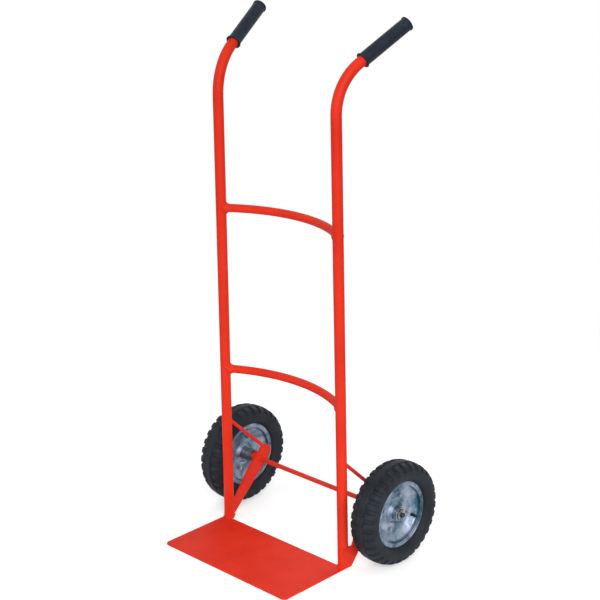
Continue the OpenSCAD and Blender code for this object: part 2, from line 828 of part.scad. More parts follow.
module valve_cap(side) {
    cap_end_t = 2;
    cap_wall_gap = 1;
    at_wheel(side) round_wheel(1, valve_r, -valve_angle)
        translate([valve_end_x + weld_gap, 0, 0]) rotate([0, 90, 0]) difference() {
            cylinder(h = valve_d + cap_end_t, d = valve_d - cap_wall_gap);
            translate([0, 0, -1]) cylinder(h = valve_d + 1, r = valve_d / 4 + weld_gap);
        }
}

module valve_stem_left() color(rubber) valve_stem(LEFT);
module valve_stem_right() color(rubber) valve_stem(RIGHT);
module valve_cap_left() color(rubber) valve_cap(LEFT);
module valve_cap_right() color(rubber) valve_cap(RIGHT);

// ---- Nodes ----

toe_plate();
upright_left();
upright_right();
crossbar_upper();
crossbar_lower();
axle_strut_left();
axle_strut_right();
brace_rod_left();
brace_rod_right();
grip_left();
grip_right();
axle();
spacer_collar_left();
spacer_collar_right();
axle_washers_left();
axle_washers_right();
split_pin_left();
split_pin_right();
tyre_left();
tyre_right();
inner_tube_left();
inner_tube_right();
rim_outer_left();
rim_outer_right();
rim_inner_left();
rim_inner_right();
hub_left();
hub_right();
bearing_outer_left();
bearing_outer_right();
bearing_inner_left();
bearing_inner_right();
rim_bolts_left();
rim_bolts_right();
rim_nuts_left();
rim_nuts_right();
valve_stem_left();
valve_stem_right();
valve_cap_left();
valve_cap_right();
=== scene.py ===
"""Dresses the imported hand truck: finishes for its solids, moulded tyres and grips, and weld beads.

In the truck's frame X points right as seen from the load, Y points back from the load and Z points up.
"""

from __future__ import annotations

import json
import logging
import math
from dataclasses import dataclass
from enum import Enum

import bpy
import numpy as np
from mathutils import Matrix, Vector

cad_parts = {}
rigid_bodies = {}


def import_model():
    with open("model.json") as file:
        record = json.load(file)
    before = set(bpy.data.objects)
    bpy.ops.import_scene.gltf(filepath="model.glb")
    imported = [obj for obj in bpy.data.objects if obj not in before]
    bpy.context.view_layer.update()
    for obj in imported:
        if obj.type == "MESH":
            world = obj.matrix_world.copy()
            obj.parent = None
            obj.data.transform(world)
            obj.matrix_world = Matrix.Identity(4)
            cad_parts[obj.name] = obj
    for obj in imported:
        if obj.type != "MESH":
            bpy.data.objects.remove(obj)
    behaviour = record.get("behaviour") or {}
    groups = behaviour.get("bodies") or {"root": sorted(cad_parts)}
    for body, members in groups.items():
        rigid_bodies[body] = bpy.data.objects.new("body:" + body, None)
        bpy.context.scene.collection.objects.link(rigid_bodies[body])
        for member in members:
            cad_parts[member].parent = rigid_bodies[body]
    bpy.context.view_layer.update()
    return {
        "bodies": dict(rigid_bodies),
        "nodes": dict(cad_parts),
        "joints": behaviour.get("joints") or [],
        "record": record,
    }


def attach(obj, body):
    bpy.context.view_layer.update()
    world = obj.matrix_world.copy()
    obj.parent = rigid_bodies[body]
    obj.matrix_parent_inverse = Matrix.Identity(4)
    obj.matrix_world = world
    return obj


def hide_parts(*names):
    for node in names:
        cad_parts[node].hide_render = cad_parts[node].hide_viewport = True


Colour = tuple[float, float, float]
Place = tuple[float, float, float]
Span = tuple[float, float]
Socket = bpy.types.NodeSocket

LOG = logging.getLogger("hand_truck")
MM = 0.001  # metres in a millimetre
TINY = 1e-12  # keeps a vector of no length from dividing by zero
WHOLE: Span = (0.0, 1.0)
NOISE_SPAN: Span = (0.3, 0.7)  # where most of a noise's values lie


class Side(Enum):
    """The two sides of the truck, as seen from the load."""

    LEFT = -1
    RIGHT = 1

    @property
    def word(self) -> str:
        """The side's name as the nodes spell it."""
        return self.name.lower()


class Finish(Enum):
    """The record's material slots."""

    PAINT = "red_paint"
    GRIP = "grip_rubber"
    TYRE = "tyre_rubber"
    TUBE = "tube_rubber"
    RIM = "rim_paint"
    ZINC = "zinc_plate"
    BEARING = "bearing_steel"
    CAP = "cap_plastic"


# ---------------------------------------------------------------- meshes


def unit(vectors: np.ndarray) -> np.ndarray:
    """Scales vectors to length 1.

    Args:
        vectors: any array whose last axis holds the parts of one vector.

    Returns:
        The same directions, each with length 1.
    """
    return vectors / np.maximum(np.linalg.norm(vectors, axis=-1, keepdims=True), TINY)


def smooth_step(values: np.ndarray, low: float, high: float) -> np.ndarray:
    """0 below low, 1 above high, and between them t t (3 - 2 t), where t is the share of the way.

    Args:
        values: what is compared.
        low: where the rise starts.
        high: where it ends.

    Returns:
        Numbers from 0 to 1.
    """
    t = np.clip((values - low) / (high - low), 0, 1)
    return t * t * (3 - 2 * t)


def grid_faces(rows: int, cols: int, wrap_rows: bool) -> np.ndarray:
    """Quads of a grid of points numbered row by row, each row being a closed loop.

    Args:
        rows: number of rows of points.
        cols: number of points in each row.
        wrap_rows: True where the last row joins the first.

    Returns:
        One row of four point numbers for each quad.
    """
    i = np.arange(rows if wrap_rows else rows - 1)[:, None]
    j = np.arange(cols)[None, :]
    down, right = (i + 1) % rows, (j + 1) % cols
    corners = (i * cols + j, i * cols + right, down * cols + right, down * cols + j)
    return np.stack(np.broadcast_arrays(*corners), axis=-1).reshape(-1, 4)


def signed_volume(points: np.ndarray, quads: np.ndarray) -> float:
    """Volume that quads enclose, negative where they face inwards.

    Args:
        points: positions, one row a point.
        quads: faces with four corners.

    Returns:
        The sum of the signed pyramids from the origin to each half face.
    """
    a, b, c, d = (points[quads[:, k]] for k in range(4))
    first = np.einsum("ij,ij->i", a, np.cross(b, c))
    second = np.einsum("ij,ij->i", a, np.cross(c, d))
    return float((first + second).sum() / 6)


def build_mesh(
    name: str, points: np.ndarray, faces: list[np.ndarray], smooth: bool = True
) -> bpy.types.Object:
    """Makes one object from point and face arrays.

    Args:
        name: the object's name.
        points: positions in metres, one row a point.
        faces: arrays of faces, all faces in one array having the same number of corners.
        smooth: True for smooth shading.

    Returns:
        The new object, linked to the scene.
    """
    mesh = bpy.data.meshes.new(name)
    corners = np.concatenate([part.reshape(-1) for part in faces]).astype(np.int32)
    sizes = np.concatenate([np.full(len(part), part.shape[1]) for part in faces]).astype(np.int32)
    starts = np.concatenate([[0], np.cumsum(sizes)[:-1]]).astype(np.int32)
    mesh.vertices.add(len(points))
    mesh.vertices.foreach_set("co", np.ascontiguousarray(points, dtype=np.float32).reshape(-1))
    mesh.loops.add(len(corners))
    mesh.loops.foreach_set("vertex_index", corners)
    mesh.polygons.add(len(sizes))
    mesh.polygons.foreach_set("loop_start", starts)
    mesh.polygons.foreach_set("loop_total", sizes)
    mesh.polygons.foreach_set("use_smooth", np.full(len(sizes), smooth))
    mesh.update(calc_edges=True)
    mesh.validate()
    piece = bpy.data.objects.new(name, mesh)
    bpy.context.scene.collection.objects.link(piece)
    return piece


def closed_grid(name: str, grid: np.ndarray) -> bpy.types.Object:
    """A ring-like surface from a grid of points that closes both ways.

    Args:
        name: the object's name.
        grid: positions with shape (rows, points in a row, 3).

    Returns:
        The new object, its faces outwards.
    """
    rows, cols = grid.shape[:2]
    points = grid.reshape(-1, 3)
    quads = grid_faces(rows, cols, True)
    if signed_volume(points, quads) < 0:
        quads = quads[:, ::-1]
    return build_mesh(name, points, [quads])


def capped_tube(name: str, grid: np.ndarray) -> bpy.types.Object:
    """A tube-like surface: each row is a closed loop, and a fan to the loop's middle closes each end.

    Args:
        name: the object's name.
        grid: positions with shape (rows, points in a row, 3).

    Returns:
        The new object, its faces outwards.
    """
    rows, cols = grid.shape[:2]
    points = np.concatenate([grid.reshape(-1, 3), grid[:1].mean(axis=1), grid[-1:].mean(axis=1)])
    quads = grid_faces(rows, cols, False)
    ring = np.arange(cols)
    after = (ring + 1) % cols
    middle = np.full(cols, rows * cols)
    end = (rows - 1) * cols
    first = np.stack([ring, middle, after], axis=1)
    last = np.stack([ring + end, after + end, middle + 1], axis=1)
    if signed_volume(points, quads) < 0:
        quads, first, last = quads[:, ::-1], first[:, ::-1], last[:, ::-1]
    return build_mesh(name, points, [quads, first, last])


def swept_bead(
    name: str, path: np.ndarray, across: np.ndarray, radius: np.ndarray, closed: bool, sides: int
) -> bpy.types.Object:
    """A bead along a path: at each point a circle stands across the path.

    The point at angle a is path + radius (cos a * across + sin a * (tangent x across)).

    Args:
        name: the object's name.
        path: the bead's middle line, one row a point.
        across: a direction across the path at each point.
        radius: the bead's radius at each point.
        closed: True where the path is a loop.
        sides: number of points round the bead.

    Returns:
        The new object.
    """
    if closed:
        tangent = unit(np.roll(path, -1, axis=0) - np.roll(path, 1, axis=0))
    else:
        tangent = unit(np.gradient(path, axis=0))
    out = unit(across - tangent * np.sum(across * tangent, axis=1, keepdims=True))[:, None, :]
    up = np.cross(tangent, out[:, 0, :])[:, None, :]
    angle = np.linspace(0, 2 * np.pi, sides, endpoint=False)[None, :, None]
    grid = path[:, None, :] + radius[:, None, None] * (np.cos(angle) * out + np.sin(angle) * up)
    return closed_grid(name, grid) if closed else capped_tube(name, grid)


# ---------------------------------------------------------------- finishes


@dataclass(frozen=True)
class Noise:
    """Cloudy noise: how fine it is per metre, its number of finer layers and how strong they are."""

    scale: float
    layers: float = 3.0
    roughness: float = 0.55


@dataclass(frozen=True)
class Skin:
    """A bumpy skin: the noise that shapes it, how much of it shows and its height in metres."""

    noise: Noise
    strength: float
    depth: float


class NodeTree:
    """A material's nodes, with short ways to add and join them."""

    def __init__(self, name: str) -> None:
        """Starts a material that reads each object's own coordinates.

        Args:
            name: the material's name.
        """
        self.material = bpy.data.materials.new(name)
        self.material.use_nodes = True
        self.tree = self.material.node_tree
        self.shader = self.tree.nodes["Principled BSDF"]
        self.coordinates = self.tree.nodes.new("ShaderNodeTexCoord").outputs["Object"]

    def set(self, **sockets: float) -> None:
        """Sets the shader's own sockets by their names, in which an underscore stands for a space."""
        for key, value in sockets.items():
            self.shader.inputs[key.replace("_", " ")].default_value = value

    def join(self, source: Socket, socket: str) -> None:
        """Links a value to one of the shader's sockets."""
        self.tree.links.new(source, self.shader.inputs[socket])

    def noise(self, kind: Noise) -> Socket:
        """Adds a noise.

        Args:
            kind: its scale and layers.

        Returns:
            The noise's value, from 0 to 1.
        """
        node = self.tree.nodes.new("ShaderNodeTexNoise")
        node.inputs["Scale"].default_value = kind.scale
        node.inputs["Detail"].default_value = kind.layers
        node.inputs["Roughness"].default_value = kind.roughness
        self.tree.links.new(self.coordinates, node.inputs["Vector"])
        return node.outputs["Fac"]

    def cells(self, scale: float) -> Socket:
        """Adds flat cells with random values, as in zinc spangle.

        Args:
            scale: cells per metre.

        Returns:
            A number from 0 to 1 that is the same all over one cell.
        """
        node = self.tree.nodes.new("ShaderNodeTexVoronoi")
        node.inputs["Scale"].default_value = scale
        self.tree.links.new(self.coordinates, node.inputs["Vector"])
        split = self.tree.nodes.new("ShaderNodeSeparateColor")
        self.tree.links.new(node.outputs["Color"], split.inputs["Color"])
        return split.outputs["Red"]

    def distance_across(self) -> Socket:
        """Distance from the middle plane between the wheels.

        Returns:
            The distance in metres.
        """
        split = self.tree.nodes.new("ShaderNodeSeparateXYZ")
        size = self.tree.nodes.new("ShaderNodeMath")
        size.operation = "ABSOLUTE"
        self.tree.links.new(self.coordinates, split.inputs["Vector"])
        self.tree.links.new(split.outputs["X"], size.inputs[0])
        return size.outputs[0]

    def blend(self, source: Socket, span: Span, low: Colour, high: Colour) -> Socket:
        """Turns a number into a colour between two.

        Args:
            source: the number.
            span: where the first colour ends and where the second is full.
            low: the colour below the span.
            high: the colour above it.

        Returns:
            The colour.
        """
        node = self.tree.nodes.new("ShaderNodeValToRGB")
        for stop, position, colour in zip(node.color_ramp.elements, span, (low, high)):
            stop.position = position
            stop.color = (*colour, 1.0)
        self.tree.links.new(source, node.inputs["Fac"])
        return node.outputs["Color"]

    def remap(self, source: Socket, target: Span, span: Span = NOISE_SPAN) -> Socket:
        """Stretches one span of a number onto another, and holds it at the ends.

        Args:
            source: the number.
            target: the values at the span's start and end.
            span: the source's values there.

        Returns:
            The new number.
        """
        node = self.tree.nodes.new("ShaderNodeMapRange")
        for key, value in zip(("From Min", "From Max", "To Min", "To Max"), (*span, *target)):
            node.inputs[key].default_value = value
        self.tree.links.new(source, node.inputs["Value"])
        return node.outputs["Result"]

    def bump(self, skin: Skin, below: Socket | None = None) -> Socket:
        """Bumps the surface by a skin's noise.

        Args:
            skin: the skin.
            below: a normal that this bump adds to.

        Returns:
            The bumped normal.
        """
        node = self.tree.nodes.new("ShaderNodeBump")
        node.inputs["Strength"].default_value = skin.strength
        node.inputs["Distance"].default_value = skin.depth
        self.tree.links.new(self.noise(skin.noise), node.inputs["Height"])
        if below is not None:
            self.tree.links.new(below, node.inputs["Normal"])
        return node.outputs["Normal"]


@dataclass(frozen=True)
class Coating:
    """What most finishes share: two colours that a cloud blends, a cloudy roughness and a skin."""

    dark: Colour
    light: Colour
    cloud: Noise
    cloud_span: Span
    polish: Noise
    roughness: Span
    skin: Skin
    specular: float = 0.5
    metal: float = 0.0

    def make(self, name: str) -> bpy.types.Material:
        """Builds the material.

        Args:
            name: the material's name.

        Returns:
            The material.
        """
        nodes = NodeTree(name)
        nodes.set(Metallic=self.metal, Specular_IOR_Level=self.specular)
        nodes.join(nodes.blend(nodes.noise(self.cloud), self.cloud_span, self.dark, self.light), "Base Color")
        nodes.join(nodes.remap(nodes.noise(self.polish), self.roughness), "Roughness")
        nodes.join(nodes.bump(self.skin), "Normal")
        return nodes.material


@dataclass(frozen=True)
class PowderCoat(Coating):
    """Red powder coat on steel: a clean colour, a fine orange-peel skin and a soft gloss."""

    dark: Colour = (0.66, 0.027, 0.011)
    light: Colour = (0.76, 0.036, 0.015)
    cloud: Noise = Noise(9.0, 4.0)
    cloud_span: Span = (0.30, 0.62)
    polish: Noise = Noise(60.0)
    roughness: Span = (0.40, 0.50)
    skin: Skin = Skin(Noise(420.0, 1.0), 0.06, 0.0003)
    specular: float = 0.09


@dataclass(frozen=True)
class Rubber(Coating):
    """Tyre rubber: dark grey with a dusty bloom, matt, with a fine pebbled skin."""

    dark: Colour = (0.011, 0.0135, 0.018)
    light: Colour = (0.022, 0.027, 0.034)
    cloud: Noise = Noise(30.0, 5.0, 0.6)
    cloud_span: Span = (0.34, 0.68)
    polish: Noise = Noise(120.0)
    roughness: Span = (0.50, 0.68)
    skin: Skin = Skin(Noise(1100.0), 0.35, 0.0003)
    specular: float = 0.14


@dataclass(frozen=True)
class GripRubber(Rubber):
    """The grips' rubber, bluer and smoother than the tyres'."""

    dark: Colour = (0.010, 0.014, 0.024)
    light: Colour = (0.018, 0.026, 0.042)
    cloud: Noise = Noise(40.0, 5.0, 0.6)
    roughness: Span = (0.36, 0.50)
    skin: Skin = Skin(Noise(900.0), 0.35, 0.0003)


@dataclass(frozen=True)
class TubeRubber(Rubber):
    """The inner tubes' rubber, a neutral grey."""

    dark: Colour = (0.015, 0.015, 0.016)
    light: Colour = (0.03, 0.03, 0.03)


@dataclass(frozen=True)
class CapPlastic(Rubber):
    """The valve caps' black plastic, smoother than any rubber here."""

    dark: Colour = (0.012, 0.012, 0.013)
    light: Colour = (0.02, 0.02, 0.021)
    cloud: Noise = Noise(80.0, 5.0, 0.6)
    roughness: Span = (0.30, 0.45)
    skin: Skin = Skin(Noise(900.0), 0.35, 0.0002)


@dataclass(frozen=True)
class GroundSteel(Coating):
    """Bearing steel: a neutral metal with fine marks, its dark tone a painted shade for the hubs' centres."""

    # dark and light: both far darker than bearing steel, a painted shade for the shade at the hubs' centres.
    dark: Colour = (0.08, 0.08, 0.09)
    light: Colour = (0.20, 0.20, 0.21)
    cloud: Noise = Noise(300.0)
    cloud_span: Span = (0.35, 0.65)
    polish: Noise = Noise(500.0)
    roughness: Span = (0.28, 0.42)
    skin: Skin = Skin(Noise(1500.0), 0.1, 0.0002)
    metal: float = 1.0


@dataclass(frozen=True)
class AxleBar:
    """The axle: powder coated between the wheels, and bare steel from inside the hubs to its ends, near-black
    as painted shade.
    """

    bare_span: Span = (0.235, 0.240)
    bare_metal: float = 0.7
    paint: Colour = (0.66, 0.032, 0.015)
    # steel: the bare ends' colour, far darker than bare steel, a painted shade standing for the shade in the
    # hubs' bores.
    steel: Colour = (0.045, 0.045, 0.05)
    polish: Noise = Noise(60.0)
    roughness: Span = (0.38, 0.52)
    skin: Skin = Skin(Noise(500.0, 1.0), 0.08, 0.0003)
    specular: float = 0.2

    def make(self, name: str) -> bpy.types.Material:
        """Builds the material: a step on the distance from the truck's middle mixes the two finishes.

        Args:
            name: the material's name.

        Returns:
            The material.
        """
        nodes = NodeTree(name)
        nodes.set(Specular_IOR_Level=self.specular)
        bare = nodes.remap(nodes.distance_across(), WHOLE, self.bare_span)
        nodes.join(nodes.blend(bare, WHOLE, self.paint, self.steel), "Base Color")
        nodes.join(nodes.remap(bare, (0.0, self.bare_metal), WHOLE), "Metallic")
        nodes.join(nodes.remap(nodes.noise(self.polish), self.roughness), "Roughness")
        nodes.join(nodes.bump(self.skin), "Normal")
        return nodes.material


@dataclass(frozen=True)
class ZincPlate:
    """The rims' zinc plate: a blue-grey metal with clouds, faint spangle and shallow dents."""

    dark: Colour = (0.04, 0.105, 0.155)
    light: Colour = (0.33, 0.37, 0.475)
    metal: float = 0.75
    cloud: Noise = Noise(26.0, 5.0, 0.62)
    cloud_span: Span = (0.38, 0.62)
    spangle_scale: float = 90.0
    roughness: Span = (0.32, 0.46)
    dents: Skin = Skin(Noise(17.0, 2.0), 0.5, 0.006)
    skin: Skin = Skin(Noise(700.0), 0.12, 0.0003)

    def make(self, name: str) -> bpy.types.Material:
        """Builds the material.

        Args:
            name: the material's name.

        Returns:
            The material.
        """
        nodes = NodeTree(name)
        nodes.set(Metallic=self.metal)
        nodes.join(nodes.blend(nodes.noise(self.cloud), self.cloud_span, self.dark, self.light), "Base Color")
        nodes.join(nodes.remap(nodes.cells(self.spangle_scale), self.roughness, WHOLE), "Roughness")
        nodes.join(nodes.bump(self.skin, nodes.bump(self.dents)), "Normal")
        return nodes.material


@dataclass(frozen=True)
class BrightZinc(ZincPlate):
    """The fasteners' zinc plate: paler, with finer clouds and almost no dents."""

    dark: Colour = (0.15, 0.18, 0.21)
    light: Colour = (0.34, 0.37, 0.41)
    cloud: Noise = Noise(60.0, 5.0, 0.62)
    spangle_scale: float = 200.0
    roughness: Span = (0.34, 0.46)
    dents: Skin = Skin(Noise(60.0, 2.0), 0.5, 0.0005)


class Wardrobe:
    """One material for each finish, made once and shared by all pieces."""

    def __init__(self) -> None:
        """Builds every finish."""
        self.materials = {
            Finish.PAINT: PowderCoat().make("powder_coat_red"),
            Finish.GRIP: GripRubber().make("grip_rubber"),
            Finish.TYRE: Rubber().make("tyre_rubber"),
            Finish.TUBE: TubeRubber().make("tube_rubber"),
            Finish.RIM: ZincPlate().make("rim_zinc"),
            Finish.ZINC: BrightZinc().make("bright_zinc"),
            Finish.BEARING: GroundSteel().make("bearing_steel"),
            Finish.CAP: CapPlastic().make("cap_plastic"),
        }
        self.axle_bar = AxleBar().make("axle_paint_and_steel")

    def dress(self, piece: bpy.types.Object, finish: Finish) -> None:
        """Gives a piece its finish in place of whatever it had."""
        piece.data.materials.clear()
        piece.data.materials.append(self.materials[finish])


# ---------------------------------------------------------------- sub-assemblies


@dataclass
class Workshop:
    """What every sub-assembly needs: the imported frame, the finishes and a way to hand a piece over."""

    frame: dict
    wardrobe: Wardrobe

    def hand_over(
        self, piece: bpy.types.Object, body: str, finish: Finish, replaced: tuple[str, ...] = ()
    ) -> bpy.types.Object:
        """Dresses a new piece, lets it ride on its body and reports it.

        Args:
            piece: the new object.
            body: the body it moves with.
            finish: its finish.
            replaced: the solids it stands for.

        Returns:
            The same object.
        """
        self.wardrobe.dress(piece, finish)
        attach(piece, body)
        if replaced:
            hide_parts(*replaced)
        faces = len(piece.data.polygons)
        LOG.info("%s rides on %s, finish %s, %d faces", piece.name, body, finish.value, faces)
        return piece

    def dress_nodes(self) -> None:
        """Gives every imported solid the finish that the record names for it, and the axle its own."""
        for entry in self.frame["record"]["subparts"]:
            self.wardrobe.dress(self.frame["nodes"][entry["node"]], Finish(entry["material_slot"]))
            LOG.info("%s is dressed as %s", entry["node"], entry["material_slot"])
        self.frame["nodes"]["axle"].data.materials[0] = self.wardrobe.axle_bar


@dataclass(frozen=True)
class SidewallRing:
    """A shallow groove round a sidewall: its radius, depth and half width in mm."""

    radius: float
    depth: float
    half_width: float


@dataclass
class Tyre:
    """A pneumatic tyre with staggered shoulder lugs, two centre grooves and ringed sidewalls.

    Sizes are in mm and the centre in metres. Each drop is a pair of distances inwards from the outer radius.
    Between them a form of the tread rises from nothing to its full depth, or the sidewall's rings end.
    """

    side: Side
    centre: Place
    outer_r: float = 127.0
    width: float = 73.0
    crown_power: float = 2.7
    lower_h: float = 23.98
    wall: float = 5.0
    tread_t: float = 10.0
    cavity_lower_h: float = 19.33
    seat_r: float = 73.7
    seat_gap: float = 0.1
    bead_x: float = 18.9
    bead_w: float = 8.0
    bead_h: float = 6.0
    edge_r: float = 83.0
    tread_depth: float = 5.0
    edge_round: float = 1.3
    lug_count: int = 32
    lug_gap: float = 11.0
    lug_drop: Span = (19.0, 12.0)
    groove_x: float = 11.0
    groove_w: float = 4.0
    groove_drop: Span = (6.0, 4.0)
    sidewall_drop: Span = (22.0, 19.0)
    rings: tuple[SidewallRing, ...] = (SidewallRing(92.0, 0.45, 0.9), SidewallRing(104.0, 0.35, 0.7))
    curve_points: int = 150
    skin_step: float = 1.15
    cavity_points: int = 30
    cavity_step: float = 5.0

    @property
    def widest_r(self) -> float:
        """Radius at which the tyre is widest."""
        return self.seat_r + (self.outer_r - self.seat_r) / 2

    def half_section(self, a: float, b: float, c: float, count: int) -> np.ndarray:
        """Right half of a section line, from the rim's edge to the middle of the tread.

        Below the widest point w it is an ellipse, x = a sqrt(1 - ((w - r) / b)^2). Above it is a
        superellipse of power p, r = w + c sin(t)^(2/p) and x = a cos(t)^(2/p).

        Args:
            a: half of the line's width.
            b: height of the lower ellipse.
            c: height of the upper curve.
            count: number of points on the upper curve; the lower one has a third as many.

        Returns:
            Radius and distance from the middle plane, one row a point.
        """
        low_r = np.linspace(self.edge_r, self.widest_r, count // 3, endpoint=False)
        low = np.stack([low_r, a * np.sqrt(np.maximum(0, 1 - ((self.widest_r - low_r) / b) ** 2))], axis=1)
        t = np.linspace(0, np.pi / 2, count)
        power = 2 / self.crown_power
        high = np.stack([self.widest_r + c * np.sin(t) ** power, a * np.cos(t) ** power], axis=1)
        return np.concatenate([low, high])

    @staticmethod
    def even(line: np.ndarray, step: float) -> np.ndarray:
        """Spaces a line's points evenly along its length.

        Args:
            line: points, one row each.
            step: about how far apart.

        Returns:
            The new points.
        """
        length = np.concatenate([[0], np.cumsum(np.linalg.norm(np.diff(line, axis=0), axis=1))])
        at = np.linspace(0, length[-1], max(3, int(length[-1] / step) + 1))
        return np.stack([np.interp(at, length, line[:, k]) for k in range(2)], axis=1)

    def loop(self) -> tuple[np.ndarray, np.ndarray]:
        """The closed section: right and left outside with their beads, then left and right inside.

        Returns:
            The points' radius and distance from the middle plane, and 1 for each point that is outside.
        """
        half, crown = self.width / 2, self.outer_r - self.widest_r
        outside = self.half_section(half, self.lower_h, crown, self.curve_points)
        outside = self.even(outside, self.skin_step)
        cavity = self.half_section(
            half - self.wall, self.cavity_lower_h, crown - self.tread_t, self.cavity_points
        )
        cavity = self.even(cavity, self.cavity_step)
        foot_r, toe_x = self.seat_r + self.seat_gap, self.bead_x - self.bead_w
        bead = np.array([[foot_r, toe_x], [foot_r, self.bead_x], [self.edge_r, self.bead_x]])
        right = np.concatenate([bead, outside])
        inner = np.concatenate([[[self.seat_r + self.bead_h, toe_x]], cavity])
        mirror = [1, -1]
        section = np.concatenate([right, right[-2::-1] * mirror, inner * mirror, inner[-2::-1]])
        skin = np.zeros(len(section))
        skin[len(bead) : len(bead) + 2 * len(outside) - 1] = 1
        return section, skin

    def angles(self) -> np.ndarray:
        """Angles round the wheel: four close together at each lug's edge, and one in each lug and gap.

        Returns:
            The angles in radians.
        """
        pitch = 2 * np.pi / self.lug_count
        half = self.lug_gap / 2 / self.outer_r
        edge = self.edge_round / self.outer_r
        near = np.array([-edge, -edge / 3, edge / 3, edge])
        knots = np.concatenate([[0.0], near - half, near + half])
        knots = np.sort(np.mod(np.concatenate([knots, knots + pitch / 2]), pitch))
        return (np.arange(self.lug_count)[:, None] * pitch + knots[None, :]).reshape(-1)

    def past(self, distance: np.ndarray, edge: float) -> np.ndarray:
        """0 short of an edge of the tread, 1 past it, and a smooth rise over the edge's rounding."""
        return smooth_step(distance, edge - self.edge_round / 2, edge + self.edge_round / 2)

    def rise(self, radius: np.ndarray, drop: Span) -> np.ndarray:
        """0 below a drop's first distance from the outer radius, 1 above its second, smooth between."""
        return smooth_step(radius, self.outer_r - drop[0], self.outer_r - drop[1])

    def relief(self, section: np.ndarray, skin: np.ndarray, angle: np.ndarray) -> np.ndarray:
        """Depth of the tread and of the sidewall's rings below the plain section.

        The gaps between the shoulder lugs repeat round the wheel, half a pitch apart on the two sides. A
        ring is depth exp(-((r - radius) / half width)^2).

        Args:
            section: the section's points.
            skin: 1 where a point is outside.
            angle: the angles round the wheel.

        Returns:
            Depths in mm for each angle and section point.
        """
        r, x = section[None, :, 0], section[None, :, 1]
        pitch = 2 * np.pi / self.lug_count
        phase = np.where(x >= 0, 0.0, 0.5)
        local = (np.mod(angle[:, None] / pitch - phase + 0.5, 1.0) - 0.5) * pitch * self.outer_r
        gap = 1 - self.past(np.abs(local), self.lug_gap / 2)
        shoulder = self.past(np.abs(x), self.groove_x) * self.rise(r, self.lug_drop)
        groove = 1 - self.past(np.abs(np.abs(x) - self.groove_x), self.groove_w / 2)
        tread = self.tread_depth * np.maximum(gap * shoulder, groove * self.rise(r, self.groove_drop))
        rings = sum(
            ring.depth * np.exp(-(((r - ring.radius) / ring.half_width) ** 2)) for ring in self.rings
        )
        return (tread + (1 - self.rise(r, self.sidewall_drop)) * rings) * skin[None, :]

    def build(self, shop: Workshop) -> bpy.types.Object:
        """Makes the tyre.

        Each point is the section's point moved inwards along the section's normal by the relief, and turned
        about the axle: y = r cos(angle), z = r sin(angle).

        Args:
            shop: where the piece is dressed.

        Returns:
            The tyre.
        """
        section, skin = self.loop()
        angle = self.angles()
        tangent = unit(np.roll(section, -1, axis=0) - np.roll(section, 1, axis=0))
        inward = np.stack([-tangent[:, 1], tangent[:, 0]], axis=1)
        toward = np.sign(np.sum(inward * ([self.widest_r, 0] - section), axis=1, keepdims=True))
        inward = inward * np.where(toward == 0, 1, toward)
        depth = self.relief(section, skin, angle)
        r = section[None, :, 0] + depth * inward[None, :, 0]
        x = section[None, :, 1] + depth * inward[None, :, 1]
        turn = angle[:, None]
        grid = np.stack([self.side.value * x, r * np.cos(turn), r * np.sin(turn)], axis=-1)
        piece = closed_grid(f"tyre_moulding_{self.side.word}", grid * MM + np.array(self.centre))
        return shop.hand_over(piece, f"wheel_{self.side.word}", Finish.TYRE, (f"tyre_{self.side.word}",))


